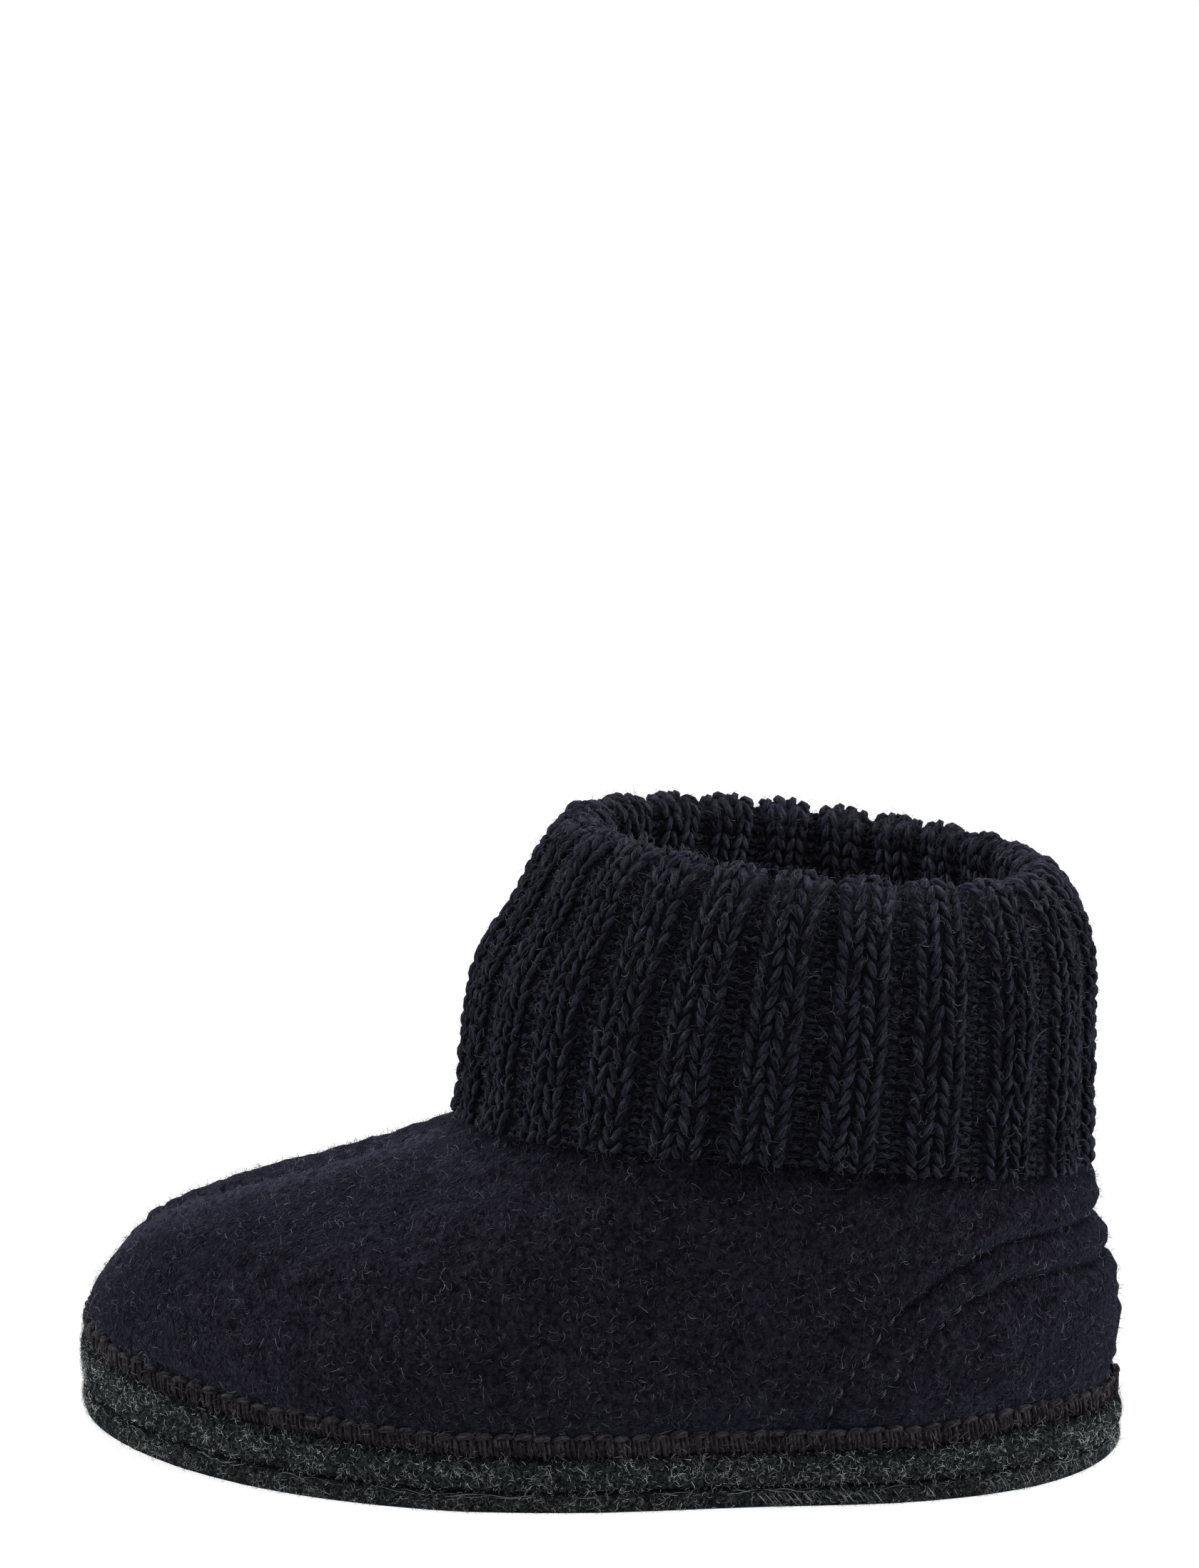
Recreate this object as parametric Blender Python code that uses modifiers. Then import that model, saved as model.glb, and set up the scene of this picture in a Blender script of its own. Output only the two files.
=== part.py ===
"""A left slipper bootee for a child: boiled-wool upper, turned-down ribbed cuff, two-layer felt sole.

The origin is on the floor under the middle of the length and width, +X points to the toe, +Y to the
outer (left) side of the foot and +Z up. Sizes and table columns are in millimetres and become metres
when a mesh is made.
"""

from collections import namedtuple

import bpy
import numpy as np

MM = 0.001

# Sole plan
SOLE_TOE = 90.0
SOLE_HEEL = -90.0
SOLE_LATERAL = 36.3
SOLE_MEDIAL = 36.3
SOLE_WIDEST = 5.0
SOLE_FRONT_POWER = 2.5
OVAL_POWER = 2.0
BACK_POWER = 2.06

# Left curve of the foot: the toe swings inwards and the waist is pinched, more on the inner side
TOE_SWING = 10.4
SWING_START = 19.0
SWING_POWER = 1.35
WAIST_X = -29.0
WAIST_SPREAD = 25.0
WAIST_LATERAL = 2.7
WAIST_MEDIAL = 6.4

# Toe spring and heel lift of the sole
SPRING_START = 42.0
TOE_SPRING = 2.2
HEEL_LIFT_START = -72.0
HEEL_LIFT = 1.1

# Thicknesses and clearances
WALL = 3.0
KNIT = 2.6
GAP = 0.3
INSOLE_INSET = 7.7
INSOLE_THICK = 2.8
SOLE_TOP = 9.2

# Raised seam along the crown of the vamp
SEAM_RISE = 1.1
SEAM_HALF_WIDTH = 2.2
SEAM_TOE_END = 82.0
SEAM_COLLAR_END = 24.0

# The lean of a section is its rise per millimetre forward of this line across the ankle
LEAN_AXIS = -36.0

# Mesh columns round the shoe, and wales of the two-by-two rib round the cuff
COLUMNS = 72
WALES = 92
RIB_WALES = 4

Layer = namedtuple("Layer", "inset height")
Ring = namedtuple("Ring", "height toe heel lateral medial widest front_power lean foot")
Fold = namedtuple("Fold", "height front back half lean side_lift rib")

# Side of each felt layer from its lower to its upper face: inset from the sole plan, height
OUTSOLE_LAYERS = (
    Layer(inset=1.1, height=0.0),
    Layer(inset=0.4, height=0.6),
    Layer(inset=0.2, height=2.2),
    Layer(inset=0.8, height=3.4),
)
MIDSOLE_LAYERS = (
    Layer(inset=0.8, height=3.7),
    Layer(inset=0.1, height=4.9),
    Layer(inset=0.0, height=7.6),
    Layer(inset=0.9, height=SOLE_TOP),
)

# Stitched edge band: inset from the sole plan, height, going round its section from the inner foot
WELT_LAYERS = (
    Layer(inset=3.6, height=9.5),
    Layer(inset=1.4, height=9.5),
    Layer(inset=0.7, height=11.0),
    Layer(inset=1.6, height=12.8),
    Layer(inset=3.2, height=12.8),
)

# Foot of the upper, drawn in behind the band: inset from the sole plan, height
UPPER_FOOT_LAYERS = (
    Layer(inset=4.0, height=9.5),
    Layer(inset=3.6, height=13.0),
)

# Outer face of the upper, from the band to the collar. The heel column dips twice at the counter rows.
# height, toe, heel, lateral, medial, widest, front power, lean, foot (share of waist and toe spring)
UPPER_RINGS = (
    Ring(14.4, 89.7, -88.6, 35.0, 35.0, 5.0, 2.45, 0.0, 1.0),
    Ring(18.6, 89.2, -89.2, 35.8, 35.8, 5.0, 2.4, 0.0, 0.9),
    Ring(25.0, 85.2, -89.3, 35.9, 35.8, 4.0, 2.3, 0.0, 0.75),
    Ring(31.5, 80.0, -88.6, 35.6, 35.3, 2.0, 2.2, 0.0, 0.55),
    Ring(34.8, 76.2, -87.1, 35.3, 34.9, 0.0, 2.15, 0.0, 0.45),
    Ring(38.3, 70.4, -86.9, 35.0, 34.5, -2.0, 2.1, 0.0, 0.35),
    Ring(41.8, 61.6, -85.2, 34.6, 34.1, -6.0, 2.05, 0.0, 0.3),
    Ring(45.2, 51.6, -85.6, 34.2, 33.6, -10.0, 2.0, 0.0, 0.2),
    Ring(48.8, 38.8, -84.8, 33.6, 33.1, -16.0, 2.0, 0.01, 0.15),
    Ring(51.4, 29.6, -82.6, 33.1, 32.8, -22.0, 2.0, 0.025, 0.1),
    Ring(53.5, 24.4, -80.7, 32.8, 32.6, -26.0, 2.0, 0.04, 0.0),
    Ring(55.8, 20.4, -80.2, 32.5, 32.4, -28.0, 2.0, 0.05, 0.0),
    Ring(58.8, 18.4, -80.2, 32.2, 32.2, -29.0, 2.0, 0.06, 0.0),
    Ring(63.0, 17.6, -80.0, 32.0, 32.0, -30.0, 2.0, 0.07, 0.0),
)

# Middle of the knit, from the seam inside the collar, over the fold and down to the hem of the flap.
# height, front, back, half width, lean, extra height of the sides, rise of the ribs
CUFF_FOLDS = (
    Fold(63.9, 15.9, -78.6, 30.4, 0.070, 0.0, 0.5),
    Fold(78.0, 11.8, -76.8, 28.2, 0.080, 0.0, 0.7),
    Fold(90.0, 6.2, -74.2, 25.8, 0.090, 0.0, 0.8),
    Fold(98.0, 1.8, -72.2, 24.2, 0.100, 0.0, 0.9),
    Fold(102.5, 0.2, -71.6, 24.0, 0.105, 0.0, 1.0),
    Fold(104.4, 2.8, -74.2, 26.8, 0.105, 0.0, 1.0),
    Fold(102.8, 5.4, -77.0, 29.8, 0.105, 0.0, 1.0),
    Fold(98.2, 8.4, -80.4, 32.2, 0.105, 0.0, 0.9),
    Fold(90.0, 12.6, -82.3, 34.0, 0.100, 0.5, 0.8),
    Fold(80.0, 18.6, -82.4, 35.2, 0.090, 1.4, 0.7),
    Fold(68.0, 21.0, -82.5, 35.8, 0.080, 3.0, 0.6),
    Fold(60.0, 21.8, -82.6, 36.1, 0.070, 4.4, 0.55),
    Fold(55.0, 22.9, -82.9, 36.3, 0.063, 5.4, 0.5),
)

Finish = namedtuple("Finish", "material color roughness")

FINISHES = {
    "outsole": Finish("sole_felt_grey", (0.062, 0.068, 0.070), 0.95),
    "midsole": Finish("sole_felt_grey_upper", (0.068, 0.076, 0.078), 0.95),
    "welt": Finish("seam_yarn_brown", (0.050, 0.040, 0.040), 0.85),
    "upper": Finish("boiled_wool_navy", (0.016, 0.017, 0.027), 0.95),
    "insole": Finish("insole_felt_grey", (0.120, 0.120, 0.118), 0.95),
    "cuff": Finish("rib_knit_navy", (0.013, 0.014, 0.022), 0.95),
}


def angles_round(count):
    """Angles round the shoe from the toe over the lateral side to the heel and back."""
    return np.arange(count) * (2 * np.pi / count)


def spring(x):
    """Lift of the sole at the toe and at the heel, a parabola from the flat of the tread."""
    toe = np.clip((x - SPRING_START) / (SOLE_TOE - SPRING_START), 0, None)
    heel = np.clip((HEEL_LIFT_START - x) / (HEEL_LIFT_START - SOLE_HEEL), 0, None)
    return TOE_SPRING * toe**2 + HEEL_LIFT * heel**2


def plan(angles, toe, heel, lateral, medial, widest, front_power, foot):
    """Plan curve of one section: superellipse quarters, pinched at the waist and swung at the toe."""
    cosine = np.cos(angles)
    sine = np.sin(angles)
    power = np.where(cosine > 0, front_power, BACK_POWER)
    along = np.sign(cosine) * np.abs(cosine) ** (2 / power)
    across = np.sign(sine) * np.abs(sine) ** (2 / power)
    x = widest + along * np.where(cosine > 0, toe - widest, widest - heel)
    waist = np.where(sine > 0, WAIST_LATERAL, WAIST_MEDIAL) * foot
    pinch = waist * np.exp(-(((x - WAIST_X) / WAIST_SPREAD) ** 2))
    reach = np.clip((x - SWING_START) / (SOLE_TOE - SWING_START), 0, None)
    y = across * (np.where(sine > 0, lateral, medial) - pinch) - TOE_SWING * reach**SWING_POWER
    return x, y


def sole_ring(layer):
    """One ring of a sole layer: the sole plan drawn in by the inset, lifted with the toe spring."""
    x, y = plan(
        angles_round(COLUMNS),
        SOLE_TOE - layer.inset,
        SOLE_HEEL + layer.inset,
        SOLE_LATERAL - layer.inset,
        SOLE_MEDIAL - layer.inset,
        SOLE_WIDEST,
        SOLE_FRONT_POWER,
        1.0,
    )
    return np.column_stack((x, y, layer.height + spring(x)))


def upper_ring(row):
    """One ring of the upper's outer face, leaning to the front and raised along the vamp seam."""
    x, y = plan(
        angles_round(COLUMNS),
        row.toe,
        row.heel,
        row.lateral,
        row.medial,
        row.widest,
        row.front_power,
        row.foot,
    )
    on_vamp = np.logical_and(x < SEAM_TOE_END, x > SEAM_COLLAR_END)
    reach = np.clip((x - SWING_START) / (SOLE_TOE - SWING_START), 0, None)
    from_seam = (y + TOE_SWING * reach**SWING_POWER) / SEAM_HALF_WIDTH
    seam = SEAM_RISE * on_vamp * np.exp(-(from_seam**2))
    z = row.height + row.lean * (x - LEAN_AXIS) + row.foot * spring(x) + seam
    return np.column_stack((x, y, z))


def cuff_ring(row):
    """One ring of the knit: an oval, with two wales of each rib raised and two sunk."""
    angles = angles_round(WALES)
    wale = np.arange(WALES) % RIB_WALES
    raised = np.where(wale < RIB_WALES // 2, row.rib, -row.rib)
    half = row.half + raised
    middle = (row.front + row.back) / 2
    front = row.front + raised
    back = row.back - raised
    x, y = plan(angles, front, back, half, half, middle, OVAL_POWER, 0.0)
    sides = row.side_lift * np.sin(angles) ** 2
    z = row.height + row.lean * (x - LEAN_AXIS) + sides
    return np.column_stack((x, y, z))


def loft_faces(rows, columns, closed_rows):
    """Quads between neighbouring rings, facing away from the middle of the shoe as the rings rise."""
    faces = []
    for row in range(rows if closed_rows else rows - 1):
        above = (row + 1) % rows
        for column in range(columns):
            beside = (column + 1) % columns
            faces.append(
                (
                    row * columns + column,
                    row * columns + beside,
                    above * columns + beside,
                    above * columns + column,
                )
            )
    return faces


def cap_faces(first, columns):
    """Strip of faces across one ring, from each lateral point to the medial point opposite, facing up."""
    faces = []
    for column in range(columns // 2):
        opposite = (columns - column) % columns
        corners = [column, column + 1, columns - column - 1, opposite]
        faces.append([first + corner for corner in dict.fromkeys(corners)])
    return faces


def add_object(name, rings, faces, collection):
    """Mesh object in metres from rings in millimetres, with its own material."""
    mesh = bpy.data.meshes.new(name)
    mesh.from_pydata((np.vstack(rings) * MM).tolist(), [], faces)
    finish = FINISHES[name]
    material = bpy.data.materials.new(finish.material)
    material.use_nodes = True
    shader = material.node_tree.nodes["Principled BSDF"]
    shader.inputs["Base Color"].default_value = (*finish.color, 1.0)
    shader.inputs["Roughness"].default_value = finish.roughness
    shader.inputs["Metallic"].default_value = 0.0
    mesh.materials.append(material)
    part = bpy.data.objects.new(name, mesh)
    collection.objects.link(part)
    return part


def add_slab(name, layers, collection):
    """Closed felt layer: rings of the sole plan with a strip cap on each face."""
    rings = [sole_ring(layer) for layer in layers]
    faces = loft_faces(len(rings), COLUMNS, False)
    faces += [face[::-1] for face in cap_faces(0, COLUMNS)]
    faces += cap_faces((len(rings) - 1) * COLUMNS, COLUMNS)
    return add_object(name, rings, faces, collection)


def add_shell(name, rings, columns, thickness, offset, collection):
    """Open surface through the rings, thickened to a wall."""
    part = add_object(name, rings, loft_faces(len(rings), columns, False), collection)
    wall = part.modifiers.new("wall", "SOLIDIFY")
    wall.thickness = thickness * MM
    wall.offset = offset
    wall.use_even_offset = True
    return part


def main():
    for old in list(bpy.data.objects):
        bpy.data.objects.remove(old)
    collection = bpy.data.collections.new("wool_slipper")
    bpy.context.scene.collection.children.link(collection)

    add_slab("outsole", OUTSOLE_LAYERS, collection)
    add_slab("midsole", MIDSOLE_LAYERS, collection)

    insole_base = SOLE_TOP + GAP
    insole_layers = (
        Layer(inset=INSOLE_INSET, height=insole_base),
        Layer(inset=INSOLE_INSET, height=insole_base + INSOLE_THICK),
    )
    add_slab("insole", insole_layers, collection)

    welt_rings = [sole_ring(layer) for layer in WELT_LAYERS]
    add_object("welt", welt_rings, loft_faces(len(welt_rings), COLUMNS, True), collection)

    upper_rings = [sole_ring(layer) for layer in UPPER_FOOT_LAYERS]
    upper_rings += [upper_ring(row) for row in UPPER_RINGS]
    add_shell("upper", upper_rings, COLUMNS, WALL, -1, collection)
    add_shell("cuff", [cuff_ring(row) for row in CUFF_FOLDS], WALES, KNIT, 0, collection)


main()
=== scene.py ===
# %% [markdown]
# # A wool slipper, dressed over its frame
# The frame is the imported solid model: two felt soles, a sewn welt, a boiled wool upper, a rib knit
# cuff and an insole. Every piece below is worked out in millimetres in that same frame, so nothing has
# to be fitted afterwards.

from collections import namedtuple

import bpy
import numpy as np
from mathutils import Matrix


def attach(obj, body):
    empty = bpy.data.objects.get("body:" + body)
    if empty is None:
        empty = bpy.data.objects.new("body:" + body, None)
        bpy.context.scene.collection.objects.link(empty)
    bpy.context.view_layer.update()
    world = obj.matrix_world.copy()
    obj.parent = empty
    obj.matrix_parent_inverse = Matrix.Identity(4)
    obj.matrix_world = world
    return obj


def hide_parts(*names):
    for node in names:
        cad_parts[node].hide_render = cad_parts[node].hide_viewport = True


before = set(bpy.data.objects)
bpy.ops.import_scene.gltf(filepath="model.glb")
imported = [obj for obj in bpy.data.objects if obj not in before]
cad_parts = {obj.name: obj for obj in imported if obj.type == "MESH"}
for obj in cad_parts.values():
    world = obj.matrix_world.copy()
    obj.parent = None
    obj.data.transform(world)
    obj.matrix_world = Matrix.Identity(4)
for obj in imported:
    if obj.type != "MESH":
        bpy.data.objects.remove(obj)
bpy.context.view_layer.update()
MM = 0.001

# %% [markdown]
# ## The last, as numbers
# A slipper is a stack of outlines: each outline is an oval in plan with a toe, a heel, two sides and a
# place where it is widest. A modeller could push vertices until it looks right, but a short table is
# easier to read and to correct against the photograph. The tables repeat the numbers of the solids;
# only the sole's edge is made thicker here, as its own cell says.

# %% The outline in plan
SOLE_TOE, SOLE_HEEL, SOLE_SIDE, SOLE_WIDEST = 90.0, -90.0, 36.3, 5.0
SOLE_FRONT_POWER, BACK_POWER, OVAL_POWER = 2.5, 2.06, 2.0
TOE_SWING, SWING_START, SWING_POWER = 10.4, 19.0, 1.35
WAIST_X, WAIST_SPREAD, WAIST_LATERAL, WAIST_MEDIAL = -29.0, 25.0, 2.7, 6.4
SPRING_START, TOE_SPRING, HEEL_LIFT_START, HEEL_LIFT = 42.0, 2.2, -72.0, 1.1
LEAN_AXIS = -36.0
TURN = 2 * np.pi


def bell(value, middle, spread, power=2):
    """A bell curve: 1 at the middle and 0.37 one spread away, the exponential of minus a power."""
    return np.exp(-(((value - middle) / spread) ** power))


def spring(x):
    """Rise of the sole off the floor: a parabola that starts before the toe and one before the heel."""
    toe = np.clip((x - SPRING_START) / (SOLE_TOE - SPRING_START), 0, None)
    heel = np.clip((HEEL_LIFT_START - x) / (HEEL_LIFT_START - SOLE_HEEL), 0, None)
    return TOE_SPRING * toe**2 + HEEL_LIFT * heel**2


def centre_line(x):
    """Sideways swing of the toe: a power of how far x is past the ball of the foot."""
    reach = np.clip((x - SWING_START) / (SOLE_TOE - SWING_START), 0, None)
    return -TOE_SWING * reach**SWING_POWER


def plan(angle, toe, heel, lateral, medial, widest, front_power, foot):
    """Two half superellipses that meet at the widest place, pinched at the waist by a bell curve and
    swung at the toe. Angle 0 is the toe, a quarter turn the lateral side, half a turn the heel."""
    cosine, sine = np.cos(angle), np.sin(angle)
    power = np.where(cosine > 0, front_power, BACK_POWER)
    along = np.sign(cosine) * np.abs(cosine) ** (2 / power)
    across = np.sign(sine) * np.abs(sine) ** (2 / power)
    x = widest + along * np.where(cosine > 0, toe - widest, widest - heel)
    pinch = np.where(sine > 0, WAIST_LATERAL, WAIST_MEDIAL) * foot
    pinch = pinch * bell(x, WAIST_X, WAIST_SPREAD)
    return x, across * (np.where(sine > 0, lateral, medial) - pinch) + centre_line(x)


def through(table, where):
    """A smooth cubic through the rows of a table, read at fractional row numbers: each span joins two
    rows with the slopes that their neighbours give."""
    table = np.asarray(table, float)
    slope = np.gradient(table, axis=0)
    where = np.clip(where, 0, len(table) - 1)
    low = np.minimum(np.floor(where).astype(int), len(table) - 2)
    t = (where - low)[..., None]
    start, end = table[low], table[low + 1]
    rise = t * t * (3 - 2 * t)
    bend = (t**3 - 2 * t**2 + t) * slope[low] + (t**3 - t**2) * slope[low + 1]
    return start * (1 - rise) + end * rise + bend


def even_rows(point, last, angle, count):
    """Row numbers that are evenly far apart along the surface at one angle."""
    fine = np.linspace(0, last, 3000)
    steps = np.linalg.norm(np.diff(point(fine, np.full_like(fine, angle)), axis=0), axis=1)
    return np.interp(np.linspace(0, steps.sum(), count), np.append(0, np.cumsum(steps)), fine)


print("Sole, mm:", SOLE_TOE - SOLE_HEEL, "long and", 2 * SOLE_SIDE, "wide")

# %% [markdown]
# ## Meshes from arrays
# Blender can be asked for each vertex in turn, but a felt surface has tens of thousands. Here each
# surface is one array of points, rows by columns, and the faces are counted out between neighbours.

# %% Grids


def grid_faces(rows, columns, close_rows=False):
    """Quads between neighbouring rows and columns. The last column meets the first, and so does the
    last row if asked."""
    last = rows if close_rows else rows - 1
    row, column = np.meshgrid(np.arange(last), np.arange(columns), indexing="ij")
    above, beside = (row + 1) % rows, (column + 1) % columns
    row, above = row * columns, above * columns
    corners = [row + column, row + beside, above + beside, above + column]
    return np.stack(corners, -1).reshape(-1, 4)


def grid_normals(grid):
    """Unit normals of a grid of points: the cross product of the steps to the neighbours on each side."""
    across = np.roll(grid, -1, axis=1) - np.roll(grid, 1, axis=1)
    normal = np.cross(across, np.gradient(grid, axis=0))
    return normal / np.maximum(np.linalg.norm(normal, axis=-1, keepdims=True), 1e-9)


print("A grid of 3 rows and 4 columns has", len(grid_faces(3, 4)), "faces")

# %% [markdown]
# Yarn and thread are tubes. A curve with a bevel would do for one, but thousands of stitches are quicker
# as one array: a ring of points round every point of every path.

# %% Tubes
GRAIN_PULL, GRAIN_TWIST, GRAIN_STEP = 0.16, 0.3, 1.7


def tubes(paths, radii, guide, sides, shade=1.0):
    """Round tubes along many paths at once: at each path point a ring of points is set out from the
    tangent and a guide direction. Paths are (tube, point, 3); a radius of 0 closes an end, and shade is
    one number a path point. The grain is the place round and along the tube, twisted, with its length
    drawn in so that a pattern on it runs along the yarn."""
    tangent = np.gradient(paths, axis=1)
    tangent = tangent / np.linalg.norm(tangent, axis=-1, keepdims=True)
    side = np.cross(tangent, guide)
    side = side / np.linalg.norm(side, axis=-1, keepdims=True)
    lift = np.cross(tangent, side)
    turn = (np.arange(sides) * TURN / sides)[:, None]
    ring = np.cos(turn) * side[:, :, None, :] + np.sin(turn) * lift[:, :, None, :]
    radii = np.broadcast_to(radii, paths.shape[:2])[:, :, None]
    points = paths[:, :, None, :] + radii[..., None] * ring
    count, steps = paths.shape[:2]
    stride = np.linalg.norm(np.diff(paths, axis=1, prepend=paths[:, :1]), axis=-1)
    along = np.cumsum(stride, axis=1)[:, :, None] + 0.0 * turn[:, 0]
    round_it = turn[:, 0] + GRAIN_TWIST * along
    length = GRAIN_PULL * along + GRAIN_STEP * np.arange(count)[:, None, None]
    grain = np.stack([radii * np.cos(round_it), radii * np.sin(round_it), length], axis=-1)
    faces = grid_faces(steps, sides)[None] + (np.arange(count) * steps * sides)[:, None, None]
    shades = np.repeat(np.broadcast_to(shade, paths.shape[:2]), sides)
    return points.reshape(-1, 3), faces.reshape(-1, 4), shades, grain.reshape(-1, 3)


# %% [markdown]
# A part is four arrays: points, faces, a shade and a grain for each point. Parts of one finish are
# joined, and each joined part becomes one Blender object that rides on the frame.

# %% Parts and pieces
def sheet(grid, shade=1.0, close_rows=False):
    """A grid of points as one part: its points, its faces, one shade a point, and as grain the points."""
    shades = np.broadcast_to(shade, grid.shape[:2]).ravel()
    points = grid.reshape(-1, 3)
    return points, grid_faces(*grid.shape[:2], close_rows), shades, points


def join(parts):
    """Several parts as one: each part's faces count on from the points before it."""
    starts = np.cumsum([0] + [len(part[0]) for part in parts])
    points = np.concatenate([part[0] for part in parts])
    faces = np.concatenate([part[1] + start for part, start in zip(parts, starts)])
    shades = np.concatenate([part[2] for part in parts])
    return points, faces, shades, np.concatenate([part[3] for part in parts])


def add_piece(name, part, material, replaced=()):
    """Puts a part, its points in mm, its quads, its shades and its grain, into a mesh with smooth faces,
    and lets it ride on the frame. The material reads the shade and the grain of each point."""
    points, faces, shades, grain = part
    mesh = bpy.data.meshes.new(name)
    mesh.vertices.add(len(points))
    mesh.vertices.foreach_set("co", (np.asarray(points) * MM).astype(np.float32).ravel())
    mesh.loops.add(faces.size)
    mesh.loops.foreach_set("vertex_index", faces.astype(np.int32).ravel())
    mesh.polygons.add(len(faces))
    mesh.polygons.foreach_set("loop_start", np.arange(0, faces.size, faces.shape[1], dtype=np.int32))
    mesh.update(calc_edges=True)
    mesh.polygons.foreach_set("use_smooth", np.ones(len(faces), bool))
    mesh.attributes.new("shade", "FLOAT", "POINT").data.foreach_set("value", shades.astype(np.float32))
    grain_values = (np.asarray(grain) * MM).astype(np.float32).ravel()
    mesh.attributes.new("grain", "FLOAT_VECTOR", "POINT").data.foreach_set("vector", grain_values)
    mesh.materials.append(material)
    piece = bpy.data.objects.new(name, mesh)
    bpy.context.collection.objects.link(piece)
    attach(piece, "root")
    if replaced:
        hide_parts(*replaced)
    print(f"{name}: {2 * len(faces)} triangles")
    return piece


# %% [markdown]
# ## Lumps and fibres
# Felt is never even: it is thicker here and thinner there, and loose fibres curl out of it. Lumps are
# smooth noise that moves the surface. Fibres could be Blender hair, but hair can't be handed on as a
# plain mesh, so each fibre is a narrow curved ribbon, and thousands are joined in one mesh. A real one is
# about 0.02 mm thick; the ribbons are 0.05 to 0.08 mm wide, as coarse as they need to be to show.

# %% Noise, scattering and fibres


def soft_noise(points, size, seed):
    """Smooth noise from -1 to 1: random heights on a lattice of that size, blended by smooth steps."""
    place = points / size
    corner = np.floor(place).astype(np.int64)
    step = place - corner
    step = step * step * (3 - 2 * step)
    total = np.zeros(points.shape[:-1])
    for offset in np.ndindex(2, 2, 2):
        key = ((corner + offset) @ np.array([73856093, 19349663, 83492791]) + seed * 7919) & 0xFFFFFFFF
        key = ((key ^ (key >> 13)) * 1274126177) & 0xFFFFFFFF
        key = ((key ^ (key >> 15)) * 668265263) & 0xFFFFFFFF
        height = ((key >> 8) & 0xFFFF) / 32767.5 - 1
        total = total + height * np.prod(np.where(offset, step, 1 - step), axis=-1)
    return total


def scatter(grid, normals, count, seed, weight=1.0):
    """Random places on a grid surface, each cell as likely as its area times a weight, with the normals
    there."""
    rng = np.random.default_rng(seed)
    right = np.roll(grid, -1, axis=1)
    area = np.linalg.norm(np.cross((right - grid)[:-1], (grid[1:] - grid[:-1])), axis=-1)
    chance = area * np.broadcast_to(weight, grid.shape[:2])[:-1]
    cell = rng.choice(chance.size, count, p=chance.ravel() / chance.sum())
    row, column = np.unravel_index(cell, chance.shape)
    beside = (column + 1) % grid.shape[1]
    a, b = rng.random((2, count, 1))
    spot = (1 - a) * (1 - b) * grid[row, column] + a * (1 - b) * grid[row, beside]
    spot = spot + (1 - a) * b * grid[row + 1, column] + a * b * grid[row + 1, beside]
    return spot, normals[row, column]


def ribbons(centre, across, shade):
    """Narrow strips along many centre lines (strip, point, 3), with half their width as a direction."""
    count, steps = centre.shape[:2]
    points = np.stack([centre - across, centre + across], axis=2)
    step = 2 * np.arange(steps - 1)[:, None]
    strip = np.concatenate([step, step + 2, step + 3, step + 1], axis=1)
    faces = strip[None] + (np.arange(count) * 2 * steps)[:, None, None]
    points = points.reshape(-1, 3)
    return points, faces.reshape(-1, 4), np.repeat(shade, 2 * steps), points


def fibres(roots, normals, length, curl, lift, width, segments, seed):
    """Ribbons for loose fibres. Each sets off along the surface in a random direction, turns by up to
    curl radians on its way, rises by lift in a half wave and thins towards its tip."""
    rng = np.random.default_rng(seed)
    count = len(roots)
    first = np.cross(normals, rng.normal(size=(count, 3)))
    first = first / np.linalg.norm(first, axis=-1, keepdims=True)
    second = np.cross(normals, first)
    t = np.linspace(0, 1, segments + 1)
    own_length = length * rng.uniform(0.45, 1.25, (count, 1))
    heading = curl * rng.normal(size=(count, 1)) * t
    ahead = np.cumsum(np.cos(heading), axis=1) * own_length / segments
    aside = np.cumsum(np.sin(heading), axis=1) * own_length / segments
    rise = lift * rng.uniform(0.2, 1.4, (count, 1)) * np.sin(t * rng.uniform(1.6, 3.1, (count, 1)))
    centre = roots[:, None] + ahead[..., None] * first[:, None] + aside[..., None] * second[:, None]
    centre = centre + rise[..., None] * normals[:, None]
    flat = -np.sin(heading)[..., None] * first[:, None] + np.cos(heading)[..., None] * second[:, None]
    lean = rng.uniform(-1.2, 1.2, (count, 1, 1))
    flat = np.cos(lean) * flat + np.sin(lean) * normals[:, None]
    half = 0.5 * width * rng.uniform(0.7, 1.3, (count, 1, 1)) * (1 - 0.6 * t)[None, :, None]
    return ribbons(centre, half * flat, rng.random(count))


print("Noise at the toe:", soft_noise(np.array([[SOLE_TOE, 0.0, 0.0]]), 4.0, 1).round(3))

# %% [markdown]
# ## Wool, as materials
# Colours are picked from the photograph as sRGB codes and turned to linear light in one place. Wool
# scatters light from its fuzz, which a sheen layer gives. The nubs of the felt are noise in real
# millimetres, which darkens the pits between them and bumps the surface.

# %% Colours and nodes


def linear(code):
    """An sRGB hex code as linear red, green, blue and alpha, by the two-part sRGB curve."""
    value = np.array([int(code[place : place + 2], 16) for place in (1, 3, 5)]) / 255
    value = np.where(value <= 0.04045, value / 12.92, ((value + 0.055) / 1.055) ** 2.4)
    return (*[float(channel) for channel in value], 1.0)


def add_node(material, kind, inputs, **settings):
    """Adds one node with its settings; an input is a value or another node's output."""
    node = material.node_tree.nodes.new(kind)
    for name, value in settings.items():
        setattr(node, name, value)
    for name, value in inputs.items():
        if isinstance(value, bpy.types.NodeSocket):
            material.node_tree.links.new(value, node.inputs[name])
        else:
            node.inputs[name].default_value = value
    return node


def plain_finish(name, settings):
    """A new material with some of its shader's sockets set to one value all over. Returns both."""
    material = bpy.data.materials.new(name)
    material.use_nodes = True
    shader = material.node_tree.nodes["Principled BSDF"]
    for socket, value in settings.items():
        shader.inputs[socket].default_value = value
    return material, shader


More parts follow.
